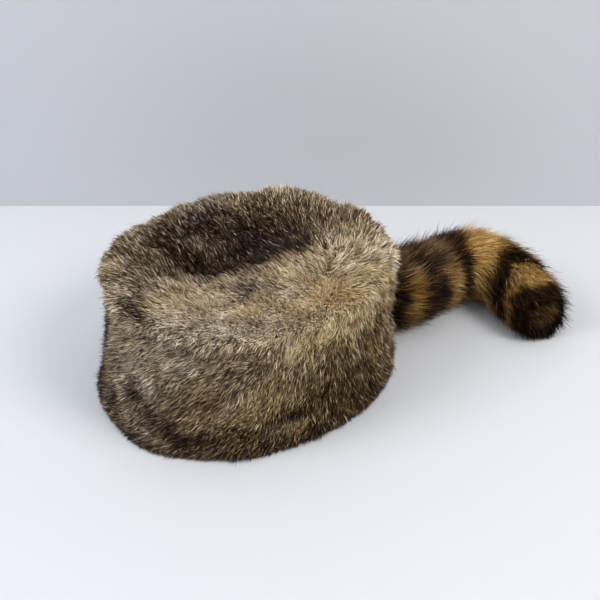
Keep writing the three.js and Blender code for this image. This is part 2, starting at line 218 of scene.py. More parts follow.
# From the seam at 1 to the foot at 2: turn in degrees, place, spread in degrees, tall,
# darker, warmer
BAND_TONES = [
    (60, 2.0, 120, 0.26, 0.3, 0.0),
    (0, 1.4, 40, 0.4, 0.02, -0.35),
    (60, 1.0, 55, 0.12, -0.1, 0.0),
    (92, 1.04, 16, 0.1, -0.14, 0.2),
    (80, 1.35, 10, 0.3, -0.1, 0.2),
    (30, 1.16, 14, 0.12, -0.12, -0.1),
    # Darker down the band's left outline: partly dark hair, partly painted shade where the fur is
    # seen edge-on.
    (-27, 1.5, 14, 0.6, 0.6, 0.0),
    (78, 0.98, 18, 0.09, -0.2, 0.1),
    (92, 1.6, 6, 0.08, 0.2, 0.0),
    (110, 1.5, 30, 0.5, 0.04, 0.5),
    (60, 1.6, 22, 0.3, 0.0, 0.3),
    (87, 1.84, 6, 0.07, -0.24, 0.6),
    (80, 1.67, 7, 0.07, 0.5, 0.0),
    (89, 1.86, 3, 0.06, 0.3, 0.0),
    (14, 1.54, 6, 0.08, 0.5, 0.0),
    (28, 1.68, 9, 0.12, 0.16, 0.0),
    (38, 1.82, 8, 0.06, 0.36, 0.0),
    (52, 1.78, 9, 0.06, 0.22, 0.0),
    (106, 1.52, 7, 0.08, 0.24, 0.0),
    (44, 1.62, 6, 0.08, -0.08, 0.0),
    (37, 1.45, 8, 0.12, 0.06, 0.1),
    (116, 1.68, 8, 0.16, 0.2, 0.0),
    (92, 1.14, 12, 0.1, -0.12, 0.0),
    (20, 1.08, 18, 0.07, -0.18, 0.0),
    (26, 1.42, 8, 0.14, -0.14, 0.0),
    (66, 1.3, 7, 0.18, -0.16, 0.0),
    (52, 1.36, 5, 0.1, -0.1, 0.0),
    (45, 1.45, 5, 0.12, 0.1, 0.0),
    (58, 1.34, 4, 0.08, 0.12, 0.0),
    (30, 1.75, 8, 0.1, 0.1, 0.0),
    (0, 1.36, 8, 0.1, 0.1, 0.0),
    (-4, 1.5, 8, 0.14, -0.08, 0.0),
    (-2, 1.81, 8, 0.1, 0.14, 0.0),
    (82, 1.8, 5, 0.06, -0.22, 0.0),
    (27, 1.88, 6, 0.06, -0.16, 0.0),
]
# Darker along the crown's edge: partly the seam itself, partly painted shade under the rim's
# overhang.
SEAM_DARKER, SEAM_SPREAD = 0.08, 0.02
# Along the tail where each ring starts, below and on top, then how dark and warm it is there
TAIL_RINGS = [
    (0.0, 0.0, 0.96, 0.6, 0.58, 0.3),
    (0.155, 0.2, 0.47, 1.0, 0.6, 0.3),
    (0.22, 0.23, 0.9, 0.4, 0.78, 0.3),
    (0.33, 0.35, 0.47, 0.6, 0.66, 0.2),
    (0.42, 0.42, 0.95, 0.5, 0.88, 0.3),
    (0.525, 0.5, 0.3, 1.0, 0.27, 1.0),
    (0.745, 0.685, 1.0, 0.6, 0.98, 0.6),
    (0.842, 0.785, 0.26, 1.0, 0.25, 1.0),
    (0.883, 0.895, 0.97, 0.6, 0.95, 0.6),
]
RING_BLUR = 0.008
# From this sine of the turn round the tail up to its top, a ring goes over to how it is on top
RING_TOP = 0.6
# Low on the tail's right, near the end of its bend, the rings lie further along: by how much,
# round which place, and how far to both sides of it
RING_LAG, LAG_PLACE, LAG_SPREAD = 0.045, 0.74, 0.13
# The lag is greatest at this turn below the right side, and starts at this cosine from there
LAG_TURN, LAG_START = math.radians(30), 0.4

# Unevenness: strength, size in metres, seed
HAT_WANDER = [(0.18, 0.025, 3), (0.25, 0.007, 6)]
TAIL_WANDER = [(0.25, 0.02, 9)]
HAT_SHADES = [(0.07, 0.016, 11), (0.08, 0.006, 12)]
HAT_WARMTHS = [(0.2, 0.02, 13)]
RING_SHIFTS = [(0.016, 0.007, 21)]
TAIL_SHADES = [(0.08, 0.01, 22)]
TAIL_WARMTHS = [(0.15, 0.012, 23)]
BRUSH_SHADES = [(0.1, 0.006, 41)]
RELIEF_SIZE, RELIEF_SEED = 0.011, 31

# How far single hairs differ, as shares of the length, the width and the pull of their tuft
LENGTH_RANGE = (0.7, 1.3)
WIDTH_RANGE = (0.6, 1.4)
PULL_RANGE = (0.3, 1)
# Higher powers leave fewer hairs loose, and let a tuft draw its hairs together nearer the tips
LOOSE_POWER = 8
PULL_POWER = 1.3
# How much paler the light hairs are, and how far single hairs differ in warmth
LIGHTER, WARMTH_SPREAD = 0.35, 0.15
# Limits to a hair's length: on the hat this many times the height of its root above the floor,
# with some to spare, and on the tail what is left up to its end, but at least the last of these
ROOM_BY_HEIGHT, ROOM_TO_SPARE = 1.5, 0.003
TAIL_END, LEAST_ROOM = 0.96, 0.013

# The brush that ends the tail: its place along it, the disc that it grows from, how far its
# hairs lean out and stray, how much shorter the outer ones are, their lengths and their tone
BRUSH_START, BRUSH_RADIUS, BRUSH_HEIGHT = 0.855, 0.012, 0.026
BRUSH_LEAN, BRUSH_STRAY = 0.45, 0.12
BRUSH_SHORTER, BRUSH_LENGTHS = 0.3, (0.8, 1.05)
BRUSH_DARK, BRUSH_DARKER, BRUSH_WARM = 0.68, 0.22, 0.45


def curve(table, place):
    """Smooth curve through the rows (place, value) of a table."""
    keys, values = np.array(table, float).T
    last = len(keys) - 1
    row = np.clip(np.searchsorted(keys, place, side="left") - 1, 0, last - 1)
    before = np.maximum(row - 1, 0)
    after = np.minimum(row + 2, last)
    width = keys[row + 1] - keys[row]
    share = np.clip((place - keys[row]) / width, 0, 1)
    slope_in = (values[row + 1] - values[before]) / (keys[row + 1] - keys[before]) * width
    slope_out = (values[after] - values[row]) / (keys[after] - keys[row]) * width
    square, cube = share**2, share**3
    return (
        (2 * cube - 3 * square + 1) * values[row]
        + (cube - 2 * square + share) * slope_in
        + (3 * square - 2 * cube) * values[row + 1]
        + (cube - square) * slope_out
    )


def smoothstep(value, low, high):
    share = np.clip((value - low) / (high - low), 0, 1)
    return share * share * (3 - 2 * share)


def unit(vectors):
    return vectors / np.maximum(np.linalg.norm(vectors, axis=-1, keepdims=True), TINY)


def dot(first, second):
    return np.sum(first * second, axis=-1)


def wrap(degrees):
    return degrees - 360 * np.round(degrees / 360)


def all_round(columns):
    return np.arange(columns) * 2 * math.pi / columns


def patch(aside, back, wide, long, degrees=0):
    """How strong an oval patch is at a place that far from its middle: 1 there, 0 far off."""
    cosine, sine = math.cos(math.radians(degrees)), math.sin(math.radians(degrees))
    first = (aside * cosine + back * sine) / wide
    second = (back * cosine - aside * sine) / long
    return np.exp(-(first**2) - second**2)


def noise(points, size, seed):
    """Smooth noise from about -1 to 1, in blobs of that size."""
    cells, gain = 32, 1.6
    lattice = np.random.default_rng(seed).uniform(-1, 1, (cells, cells, cells))
    cell = points / size
    low = np.floor(cell).astype(int)
    share = cell - low
    share = share * share * (3 - 2 * share)
    total = np.zeros(points.shape[:-1])
    for corner in itertools.product((0, 1), repeat=3):
        index = (low + corner) % cells
        weight = np.prod(np.where(corner, share, 1 - share), axis=-1)
        total += weight * lattice[index[..., 0], index[..., 1], index[..., 2]]
    return total * gain


def wander(points, size, seed):
    """Smooth random vectors, for fur that doesn't lie quite one way."""
    return np.stack([noise(points, size, seed + k) for k in range(3)], axis=-1)


def uneven(value, points, rows, source=noise):
    """A value with unevenness over it, from rows of strength, size and seed."""
    for strength, size, seed in rows:
        value = value + strength * source(points, size, seed)
    return value


def oval(turn, half_width, half_length):
    sine, cosine = np.sin(turn), np.cos(turn)
    power = 2 / SQUARENESS
    x = np.sign(sine) * np.abs(sine) ** power * half_width
    y = -np.sign(cosine) * np.abs(cosine) ** power * half_length
    return np.stack([x, y], axis=-1)


def band_point(turn, height):
    """The outside of the band. Below its foot, the fur spreads over the surface it stands on."""
    below = np.maximum(-height, 0) * BAND_HEIGHT
    height = np.clip(height, 0, 1)
    push = 0
    for fold_turn, fold_height, spread, tall, amount in BAND_FOLDS:
        apart = wrap(np.degrees(turn) - fold_turn)
        push = push + amount * FUR_DEPTH * patch(apart, height - fold_height, spread, tall)
    reach = curve(BAND_PROFILE, height)
    plan = oval(turn, HALF_WIDTH * reach, HALF_LENGTH * reach)
    outward = unit(plan / np.array([HALF_WIDTH, HALF_LENGTH]) ** 2)
    plan = plan + outward * (push + FOOT_SPREAD * below)[..., None]
    plan[..., 1] += CROWN_LEAN * height**2
    return np.concatenate([plan, (BAND_HEIGHT * height)[..., None]], axis=-1)


def crown_lift(x, y):
    """How far the pit and the folds of the crown lift it or let it sink."""
    lift = 0
    for across, along, wide, long, degrees, amount in CROWN_FORMS:
        aside, back = x - across * HALF_WIDTH, y - along * HALF_LENGTH
        form = patch(aside, back, wide * HALF_WIDTH, long * HALF_LENGTH, degrees)
        lift = lift + amount * PIT_DEPTH * form
    return lift


def crown_point(turn, along):
    """The outside of the crown, from its middle at 0 to the seam at 1."""
    along = np.clip(along, 0, 1)
    reach = curve(CROWN_REACH, along)
    rise = curve(CROWN_RISES, along)
    stay = np.maximum(0, 1 - reach)
    plan = oval(turn, HALF_WIDTH * reach, HALF_LENGTH * reach)
    plan[..., 0] += CROWN_MIDDLE[0] * HALF_WIDTH * stay
    plan[..., 1] += CROWN_MIDDLE[1] * HALF_LENGTH * stay + CROWN_LEAN * reach
    seam = band_point(turn, np.ones_like(along))[..., :2]
    plan += (seam - plan) * smoothstep(along, SEAM_START, 1)[..., None]
    lift = crown_lift(plan[..., 0], plan[..., 1]) * np.minimum(1, FORM_FADE * rise)
    return np.concatenate([plan, (SEAM + CROWN_RISE * rise + lift)[..., None]], axis=-1)


def hat_point(turn, place):
    """The crown from its middle at 0 to the seam at 1, then the band down to its foot at 2."""
    turn, place = np.broadcast_arrays(turn, place)
    crown = crown_point(turn, place)
    band = band_point(turn, 2 - place)
    return np.where((place <= 1)[..., None], crown, band)


def tail_line():
    """The tail's middle line in short steps, and the way it heads in the middle of each."""
    steps = 600
    middles = (np.arange(steps) + 0.5) / steps
    heading = np.radians(curve(TAIL_ROUTE, middles))
    ahead = np.stack([np.sin(heading), np.cos(heading)], axis=-1)
    root = oval(TAIL_ROOT_TURN, HALF_WIDTH - FUR_DEPTH, HALF_LENGTH - FUR_DEPTH)
    line = np.vstack([root, root + np.cumsum(ahead * TAIL_LENGTH / steps, axis=0)])
    return np.linspace(0, 1, steps + 1), line, middles, ahead


TAIL_LINE = tail_line()


def tail_middle(along):
    """Points of the tail's middle line seen from above, and the way it heads there."""
    places, line, middles, ahead = TAIL_LINE
    heading = unit(np.stack([np.interp(along, middles, ahead[:, k]) for k in (0, 1)], axis=-1))
    point = np.stack([np.interp(along, places, line[:, k]) for k in (0, 1)], axis=-1)
    return point + heading * (np.maximum(along - 1, 0) * TAIL_LENGTH)[..., None], heading


def tail_point(turn, along):
    """The outside of the tail. Beyond its tip it narrows."""
    turn, along = np.broadcast_arrays(turn, along)
    point, heading = tail_middle(along)
    beyond = np.clip((along - 1) / TIP_REACH, 0, 1)
    radius = TAIL_RADIUS * curve(TAIL_GIRTH, np.clip(along, 0, 1)) * (1 - TIP_NARROWING * beyond)
    side = np.stack([heading[..., 1], -heading[..., 0]], axis=-1)
    plan = point + side * (radius * np.cos(turn))[..., None]
    height = np.maximum(FLOOR_CLEARANCE, radius * TAIL_SAG + radius * np.sin(turn))
    return np.concatenate([plan, height[..., None]], axis=-1)


def frame_at(surface, u, v):
    """Point, slopes along u and v, and outward normal of a surface."""
    step_u, step_v = 0.012, 0.004
    slope_u = (surface(u + step_u, v) - surface(u - step_u, v)) / (2 * step_u)
    slope_v = (surface(u, v + step_v) - surface(u, v - step_v)) / (2 * step_v)
    return surface(u, v), slope_u, slope_v, unit(np.cross(slope_v, slope_u))


def scatter(surface, low, high, count, rng):
    """Places spread evenly over the surface between two values of v."""
    rows, columns = 80, 240
    u = np.linspace(0, 2 * math.pi, columns + 1)
    v = np.linspace(low, high, rows + 1)
    grid = surface(*np.meshgrid(u, v))
    across = grid[:-1, 1:] - grid[:-1, :-1]
    down = grid[1:, :-1] - grid[:-1, :-1]
    total = np.cumsum(np.linalg.norm(np.cross(across, down), axis=-1).ravel())
    share = (np.arange(count) + rng.random(count)) / count
    cell = np.minimum(np.searchsorted(total, share * total[-1]), rows * columns - 1)
    row, column = np.divmod(cell, columns)
    return u[column] + rng.random(count) * u[1], v[row] + rng.random(count) * (v[1] - v[0])


def comb(surface, flow, u, v, length, steps, astray):
    """The paths of hairs that lie along a surface, and the places that they pass."""
    most_turn, most_place = 0.5, 0.2
    points, normals, places = [], [], []
    for step in range(steps + 1):
        point, slope_u, slope_v, normal = frame_at(surface, u, v)
        points.append(point)
        normals.append(normal)
        places.append(np.stack([u, v]))
        if step == steps:
            break
        way = flow(u, v, point, unit(slope_u), unit(slope_v))
        way = unit(way - normal * dot(way, normal)[:, None])
        aside = np.cross(normal, way)
        way = way * np.cos(astray)[:, None] + aside * np.sin(astray)[:, None]
        uu, vv, uv = dot(slope_u, slope_u), dot(slope_v, slope_v), dot(slope_u, slope_v)
        along_u, along_v = dot(way, slope_u), dot(way, slope_v)
        share = length / steps / np.maximum(uu * vv - uv**2, TINY)
        u = u + np.clip((along_u * vv - along_v * uv) * share, -most_turn, most_turn)
        v = v + np.clip((along_v * uu - along_u * uv) * share, -most_place, most_place)
        # Past the crown's middle a hair goes on down the other side
        u, v = np.where(v < 0, u + math.pi, u), np.abs(v)
    return np.stack(points, axis=1), np.stack(normals, axis=1), np.stack(places, axis=-1)


def hat_flow(turn, place, point, around, down):
    """The way the fur points: swept round the crown, and down and forward on the band."""
    turns, at_seam, at_level, at_foot = np.array(BAND_SWEEP, float).T
    degrees = wrap(np.degrees(turn))
    drop = np.clip(place - 1, 0, 1)
    upper = np.maximum(0, 1 - drop / SWEEP_LEVEL)
    lower = np.maximum(0, (drop - SWEEP_LEVEL) / (1 - SWEEP_LEVEL))
    sweep = np.radians(
        np.interp(degrees, turns, at_seam) * upper
        + np.interp(degrees, turns, at_level) * (1 - upper - lower)
        + np.interp(degrees, turns, at_foot) * lower
    )
    band = down * np.cos(sweep)[:, None] - around * np.sin(sweep)[:, None]
    least_weight = 1e-6
    crown, total = np.zeros_like(point), least_weight
    for across, along, heading in CROWN_HEADINGS:
        away = np.hypot(point[:, 0] / HALF_WIDTH - across, point[:, 1] / HALF_LENGTH - along)
        weight = np.exp(-((away / HEADING_REACH) ** 2))[:, None]
        heading = math.radians(heading)
        crown += weight * [math.cos(heading), math.sin(heading), 0]
        total = total + weight
    crown /= total
    share = smoothstep(place - curve(CROWN_EDGE, degrees), *EDGE_FLOW)[:, None]
    return crown * (1 - share) + band * share + uneven(0, point, HAT_WANDER, wander)


def tail_flow(turn, along, point, around, ahead):
    """The way the fur points: along the tail to its tip."""
    return uneven(ahead, point, TAIL_WANDER, wander)


def hat_tone(turn, place, point):
    """How dark and how warm the hat's fur is at a place, some of it painted shade."""
    below_edge = place - curve(CROWN_EDGE, wrap(np.degrees(turn)))
    share = smoothstep(below_edge, *EDGE_TONE)
    dark, warm = CROWN_DARK + BAND_DARKER * share, CROWN_WARM + BAND_WARMER * share
    # Painted shade under the rim's edge, partly the seam's own dark.
    dark = dark + SEAM_DARKER * np.exp(-((below_edge / SEAM_SPREAD) ** 2))
    x, y = point[..., 0] / HALF_WIDTH, point[..., 1] / HALF_LENGTH
    for across, along, wide, long, degrees, darker, warmer in CROWN_TONES:
        weight = patch(x - across, y - along, wide, long, degrees) * (1 - share)
        dark, warm = dark + darker * weight, warm + warmer * weight
    for degrees, level, spread, tall, darker, warmer in BAND_TONES:
        weight = patch(wrap(np.degrees(turn) - degrees), place - level, spread, tall)
        dark, warm = dark + darker * weight, warm + warmer * weight
    return uneven(dark, point, HAT_SHADES), uneven(warm, point, HAT_WARMTHS)


def tail_tone(turn, along, point):
    """How dark and how warm the fur of the tail is at a place, in its rings."""
    top = smoothstep(np.sin(turn), RING_TOP, 1)
    low = smoothstep(np.cos(turn + LAG_TURN), LAG_START, 1)
    lag = RING_LAG * low * np.exp(-(((along - LAG_PLACE) / LAG_SPREAD) ** 2))
    place = uneven(along - lag, point, RING_SHIFTS)
    dark, warm = 0, 0
    for below, above, dark_below, warm_below, dark_top, warm_top in TAIL_RINGS:
        start = below * (1 - top) + above * top
        share = smoothstep(place, start - RING_BLUR, start + RING_BLUR)
        dark = dark * (1 - share) + (dark_below * (1 - top) + dark_top * top) * share
        warm = warm * (1 - share) + (warm_below * (1 - top) + warm_top * top) * share
    return uneven(dark, point, TAIL_SHADES), uneven(warm, point, TAIL_WARMTHS)


def add_mesh(name, points, triangles, corner_places, values):
    """A mesh in the shared frame from arrays, with its own map and point values."""
    mesh = bpy.data.meshes.new(name)
    mesh.vertices.add(len(points))
    mesh.vertices.foreach_set("co", (points + HAT_MIDDLE).astype(np.float32).ravel())
    mesh.loops.add(triangles.size)
    mesh.loops.foreach_set("vertex_index", triangles.astype(np.int32).ravel())
    mesh.polygons.add(len(triangles))
    starts = np.arange(0, triangles.size, 3, dtype=np.int32)
    mesh.polygons.foreach_set("loop_start", starts)
    layer = mesh.uv_layers.new(name="OFBake")
    layer.uv.foreach_set("vector", corner_places.astype(np.float32).ravel())
    for key, value in values.items():
        attribute = mesh.attributes.new(key, "FLOAT", "POINT")
        attribute.data.foreach_set("value", value.astype(np.float32).ravel())
    mesh.update(calc_edges=True)
    mesh.validate()
    thing = bpy.data.objects.new(name, mesh)
    bpy.context.scene.collection.objects.link(thing)
    return thing


def nearest(points, seeds):
    """Which of the seeds is nearest to each point."""
    tree = KDTree(len(seeds))
    for k, seed in enumerate(seeds):
        tree.insert(seed, k)
    tree.balance()
    return np.array([tree.find(point)[1] for point in points])


def lay(surface, flow, hair, u, v, length, lift, astray):
    """Paths that rise out of the skin and bend over along the surface."""
    steps = hair["steps"]
    path, normals, places = comb(surface, flow, u, v, length, steps, astray)
    share = np.linspace(0, 1, steps + 1)
    top = lift + hair["relief"] * noise(path[:, 0], RELIEF_SIZE, RELIEF_SEED)
    rise = (hair["depth"] + top)[:, None] * (1 - (1 - share) ** hair["ease"]) - hair["depth"]
    return path + normals * rise[..., None], normals, places


def hair_lengths(surface, u, v, hair, rng):
    """Lengths at random, shorter near the foot or the tip, where they would stick out."""
    length = hair["length"] * rng.uniform(*LENGTH_RANGE, len(u))
    if surface is hat_point:
        room = hat_point(u, v)[:, 2] * ROOM_BY_HEIGHT + ROOM_TO_SPARE
    else:
        room = np.maximum((TAIL_END - v) * TAIL_LENGTH, LEAST_ROOM)
    return np.minimum(length, room)


def strands(surface, flow, span, count, hair, rng, has_loose):
    """Paths of hairs, or of the middles of tufts, that start all over a surface."""
    u, v = scatter(surface, *span, count, rng)
    length = hair_lengths(surface, u, v, hair, rng)
    lift = hair["lift"] + hair["uneven"] * rng.normal(0, 1, count)
    if has_loose:
        lift = lift + hair["loose"] * rng.random(count) ** LOOSE_POWER
    astray = np.radians(hair["stray"]) * rng.normal(0, 1, count)
    return lay(surface, flow, hair, u, v, length, lift, astray)


def fur(name, surface, flow, tone, span, count, hair, seed):
    """Hairs over a surface, drawn together into tufts."""
    rng = np.random.default_rng(seed)
    tufts = hair["tufts"]
    points, normals, places = strands(surface, flow, span, count, hair, rng, has_loose=True)
    middles, _, _ = strands(surface, flow, span, tufts, hair, rng, has_loose=False)
    tuft = nearest(points[:, 0], middles[:, 0])
    share = np.linspace(0, 1, hair["steps"] + 1)
    pull = hair["pull"] * rng.uniform(*PULL_RANGE, count)[:, None] * share**PULL_POWER
    points = points + (middles[tuft] - points) * pull[..., None]

    dark, warm = tone(places[0], places[1], points)
    dark = dark + hair["mixed"] * rng.normal(0, 1, tufts)[tuft][:, None]
    return blades(name, points, normals, dark, warm, hair, rng)


def blade_faces(count, steps, along):
    """Triangles of that many blades, and where the corners of each lie on the map."""
    side_gap, end_gap = 0.12, 0.06
    template = []
    for low in range(0, 2 * steps - 2, 2):
        template += [(low, low + 1, low + 3), (low, low + 3, low + 2)]
    template = np.array(template + [(2 * steps - 2, 2 * steps - 1, 2 * steps)])
    triangles = template[None] + (np.arange(count) * (2 * steps + 1))[:, None, None]

    across = np.array([side_gap, 1 - side_gap] * steps + [0.5])
    columns = math.ceil(math.sqrt(count))
    row, column = np.divmod(np.arange(count), columns)
    map_u = (column[:, None] + across) / columns
    map_v = (row[:, None] + end_gap + (1 - 2 * end_gap) * along) / columns
    maps = np.stack([map_u, map_v], axis=-1)[:, template].reshape(-1, 2)
    return triangles.reshape(-1, 3), maps


def blades(name, points, normals, dark, warm, hair, rng):
    """Hairs as one mesh: each is a thin blade along its path, in bands of tone to its tip."""
    count, steps = len(points), hair["steps"]
    points[..., 2] = np.maximum(points[..., 2], FLOOR_CLEARANCE)
    ahead = np.gradient(points, axis=1)
    flat = unit(np.cross(ahead, normals))
    up = unit(np.cross(flat, ahead))
    roll = np.radians(hair["roll"]) * rng.normal(0, 1, count)[:, None, None]
    flat = flat * np.cos(roll) + up * np.sin(roll)
    widths = hair["width"] * rng.uniform(*WIDTH_RANGE, count)[:, None] * np.array(hair["taper"])
    offset = flat[:, :-1] * (widths / 2)[..., None]
    sides = np.stack([points[:, :-1] - offset, points[:, :-1] + offset], axis=2)
    corners = np.concatenate([sides.reshape(count, -1, 3), points[:, -1:]], axis=1)

    # A blade has two corners at each step of its path and one at its tip
    corner_step = np.append(np.repeat(np.arange(steps), 2), steps)
    along = np.linspace(0, 1, steps + 1)[corner_step]
    triangles, maps = blade_faces(count, steps, along)

    kind = rng.random(count)
    own = hair["own"] * rng.normal(0, 1, count)
    own = own + np.where(kind < hair["dark_hairs"], hair["darker"], 0)
    own = own - np.where(kind > 1 - hair["light_hairs"], LIGHTER, 0)
    tip = hair["tips"] * rng.normal(0, 1, count)[:, None] * along**2
    banded = dark[:, corner_step] + own[:, None] + np.interp(along, *zip(*hair["bands"])) + tip
    warm = warm[:, corner_step] + WARMTH_SPREAD * rng.normal(0, 1, count)[:, None]
    values = {"dark": banded, "warm": warm}
    return add_mesh(name, corners.reshape(-1, 3), triangles, maps, values)


def tail_brush(name, count, hair, seed):
    """The hairs that end the tail, from a disc inside it."""
    rng = np.random.default_rng(seed)
    middle, heading = tail_middle(np.full(count, BRUSH_START))
    out = np.sqrt(rng.random(count))[:, None]
    angle = rng.uniform(0, 2 * math.pi, count)[:, None]
    ahead = np.column_stack([heading, np.zeros(count)])
    side = np.column_stack([heading[:, 1], -heading[:, 0], np.zeros(count)])
    aside = side * np.cos(angle) + np.array([0, 0, 1]) * np.sin(angle)
    root = np.column_stack([middle, np.full(count, BRUSH_HEIGHT)]) + aside * out * BRUSH_RADIUS
    way = ahead + BRUSH_LEAN * out * aside + BRUSH_STRAY * rng.normal(0, 1, (count, 3))
    shorter = 1 - BRUSH_SHORTER * out**2
    length = hair["length"] * shorter * rng.uniform(*BRUSH_LENGTHS, (count, 1))
    share = np.linspace(0, 1, hair["steps"] + 1)[None, :, None]
    points = root[:, None] + (unit(way) * length)[:, None] * share
    normals = unit(rng.normal(0, 1, (count, 3)))[:, None] + 0 * points
    dark = uneven(BRUSH_DARK + BRUSH_DARKER * out, points, BRUSH_SHADES)
    return blades(name, points, normals, dark, np.full(dark.shape, BRUSH_WARM), hair, rng)


def rings_mesh(name, rings, is_loop, outside_rows):
    """A closed skin over rings of as many points each. The first rows are the outside."""
    columns = len(rings[0])
    points = np.concatenate(rings + [rings[0].mean(axis=0)[None], rings[-1].mean(axis=0)[None]])
    triangles, maps, materials = [], [], []
    rows = len(rings) if is_loop else len(rings) - 1

    def add(corners, places, is_inside):
        triangles.append(corners)
        maps.extend(places)
        materials.append(int(is_inside))

    # How much of its cell on the map a face takes up
    fill, cap_fill = 0.98, 0.9
    for column in range(columns):
        beside = (column + 1) % columns
        for row in range(rows):
            low, high = row * columns, (row + 1) % len(rings) * columns
            near, far = (column, row), (column + fill, row + fill)
            is_inside = row >= outside_rows
            add((low + column, high + column, high + beside), (near, (near[0], far[1]), far),
                is_inside)
            add((low + column, high + beside, low + beside), (near, far, (far[0], near[1])),
                is_inside)
        if not is_loop:
            last = (len(rings) - 1) * columns
            start, end = (column, rows), (column + cap_fill, rows)
            tip = (column + 0.5, rows + cap_fill)
            add((beside, len(points) - 2, column), (end, tip, start), False)
            start, end, tip = ((place, level + 1) for place, level in (start, end, tip))
            add((last + column, len(points) - 1, last + beside), (start, tip, end),
                rows > outside_rows)
    maps = np.array(maps, float) / (columns, rows + 2)
    if is_loop:
        points = points[:-2]
    thing = add_mesh(name, points, np.array(triangles), maps, {})
    thing.data.polygons.foreach_set("material_index", np.array(materials, np.int32))
    thing.data.polygons.foreach_set("use_smooth", np.ones(len(triangles), bool))
    return thing


def offset_rings(surface, places, depth, columns):
    """Rings that lie that deep inside a surface, at those places along it."""
    rings = []
    for place in places:
        point, _, _, normal = frame_at(surface, all_round(columns), np.full(columns, place))
        rings.append(point - normal * depth)
    return rings


# Over each hair's own tone: how strong the mottle is, and its scale
FUR_MOTTLE, FUR_MOTTLE_SCALE = 0.16, 260
# Where a skin's mottle goes from its low tone to its high one, the depth of its bump in metres
# and its roughness
SKIN_RANGE, SKIN_RELIEF, SKIN_ROUGHNESS = (0.35, 0.68), 0.0006, 0.8


def fur_material(name, cold, warm, roughness, gloss):
    """Fur from each hair's own darkness and warmth, with a fine mottle over them."""
    material = bpy.data.materials.new(name)
    material.use_nodes = True
    nodes, links = material.node_tree.nodes, material.node_tree.links
    shader = nodes["Principled BSDF"]
    dark = nodes.new("ShaderNodeAttribute")
    dark.attribute_name = "dark"
    warmth = nodes.new("ShaderNodeAttribute")
    warmth.attribute_name = "warm"
    place = nodes.new("ShaderNodeTexCoord")
    mottle = nodes.new("ShaderNodeTexNoise")
    mottle.inputs["Scale"].default_value = FUR_MOTTLE_SCALE
    mottle.inputs["Detail"].default_value = 3
    links.new(place.outputs["Object"], mottle.inputs["Vector"])
    mixed = nodes.new("ShaderNodeMath")
    mixed.operation = "MULTIPLY_ADD"
    mixed.inputs[1].default_value = FUR_MOTTLE
    links.new(mottle.outputs["Fac"], mixed.inputs[0])
    lower = nodes.new("ShaderNodeMath")
    lower.operation = "SUBTRACT"
    lower.inputs[1].default_value = FUR_MOTTLE / 2
    links.new(dark.outputs["Fac"], lower.inputs[0])
    links.new(lower.outputs[0], mixed.inputs[2])
    ramps = []
    for colours in (cold, warm):
        ramp = nodes.new("ShaderNodeValToRGB")
        elements = ramp.color_ramp.elements
        while len(elements) < len(colours):
            elements.new(0.5)
        for element, (at, colour) in zip(elements, colours):
            element.position = at
            element.color = (*colour, 1)
        links.new(mixed.outputs[0], ramp.inputs["Fac"])
        ramps.append(ramp)
    blend = nodes.new("ShaderNodeMix")
    blend.data_type = "RGBA"
    links.new(warmth.outputs["Fac"], blend.inputs["Factor"])
    links.new(ramps[0].outputs["Color"], blend.inputs[6])
    links.new(ramps[1].outputs["Color"], blend.inputs[7])
    links.new(blend.outputs[2], shader.inputs["Base Color"])
    shader.inputs["Roughness"].default_value = roughness
    shader.inputs["Specular IOR Level"].default_value = gloss
    return material


def skin_material(name, low, high, scale, bump):
    """Undercoat or bare leather: a mottle of two tones over a fine bump."""
    material = bpy.data.materials.new(name)
    material.use_nodes = True
    nodes, links = material.node_tree.nodes, material.node_tree.links
    shader = nodes["Principled BSDF"]
    place = nodes.new("ShaderNodeTexCoord")
    mottle = nodes.new("ShaderNodeTexNoise")
    mottle.inputs["Scale"].default_value = scale
    mottle.inputs["Detail"].default_value = 5
    links.new(place.outputs["Object"], mottle.inputs["Vector"])
    ramp = nodes.new("ShaderNodeValToRGB")
    for element, at, colour in zip(ramp.color_ramp.elements, SKIN_RANGE, (low, high)):
        element.position = at
        element.color = (*colour, 1)
    links.new(mottle.outputs["Fac"], ramp.inputs["Fac"])
    links.new(ramp.outputs["Color"], shader.inputs["Base Color"])
    grain = nodes.new("ShaderNodeBump")
    grain.inputs["Strength"].default_value = bump
    grain.inputs["Distance"].default_value = SKIN_RELIEF
    links.new(mottle.outputs["Fac"], grain.inputs["Height"])
    links.new(grain.outputs["Normal"], shader.inputs["Normal"])
    shader.inputs["Roughness"].default_value = SKIN_ROUGHNESS
    return material


# How dark the fur is, and its colour there
COLD_FUR = [
    (0.0, (0.92, 0.82, 0.68)),
    (0.25, (0.56, 0.47, 0.365)),
    (0.5, (0.252, 0.192, 0.143)),
    (0.75, (0.075, 0.048, 0.034)),
    (1.0, (0.009, 0.0058, 0.0042)),
]
WARM_FUR = [
    (0.0, (0.93, 0.76, 0.46)),
    (0.25, (0.6, 0.44, 0.21)),
    (0.5, (0.278, 0.176, 0.074)),
    (0.75, (0.08, 0.043, 0.018)),
    (1.0, (0.009, 0.0047, 0.002)),
]
BROWN_FUR = [
    (0.0, (0.7, 0.57, 0.37)),
    (0.25, (0.46, 0.33, 0.175)),
    (0.5, (0.2, 0.122, 0.06)),
    (0.75, (0.05, 0.027, 0.014)),
    (1.0, (0.0055, 0.0028, 0.0018)),
]
GOLDEN_FUR = [
    (0.0, (0.84, 0.6, 0.27)),
    (0.25, (0.59, 0.35, 0.09)),
    (0.5, (0.25, 0.12, 0.024)),
    (0.75, (0.05, 0.022, 0.006)),
    (1.0, (0.0055, 0.0026, 0.001)),
]
UNDERCOAT_LOW, UNDERCOAT_HIGH = (0.012, 0.008, 0.005), (0.06, 0.042, 0.028)
LEATHER_LOW, LEATHER_HIGH = (0.36, 0.26, 0.17), (0.5, 0.39, 0.27)

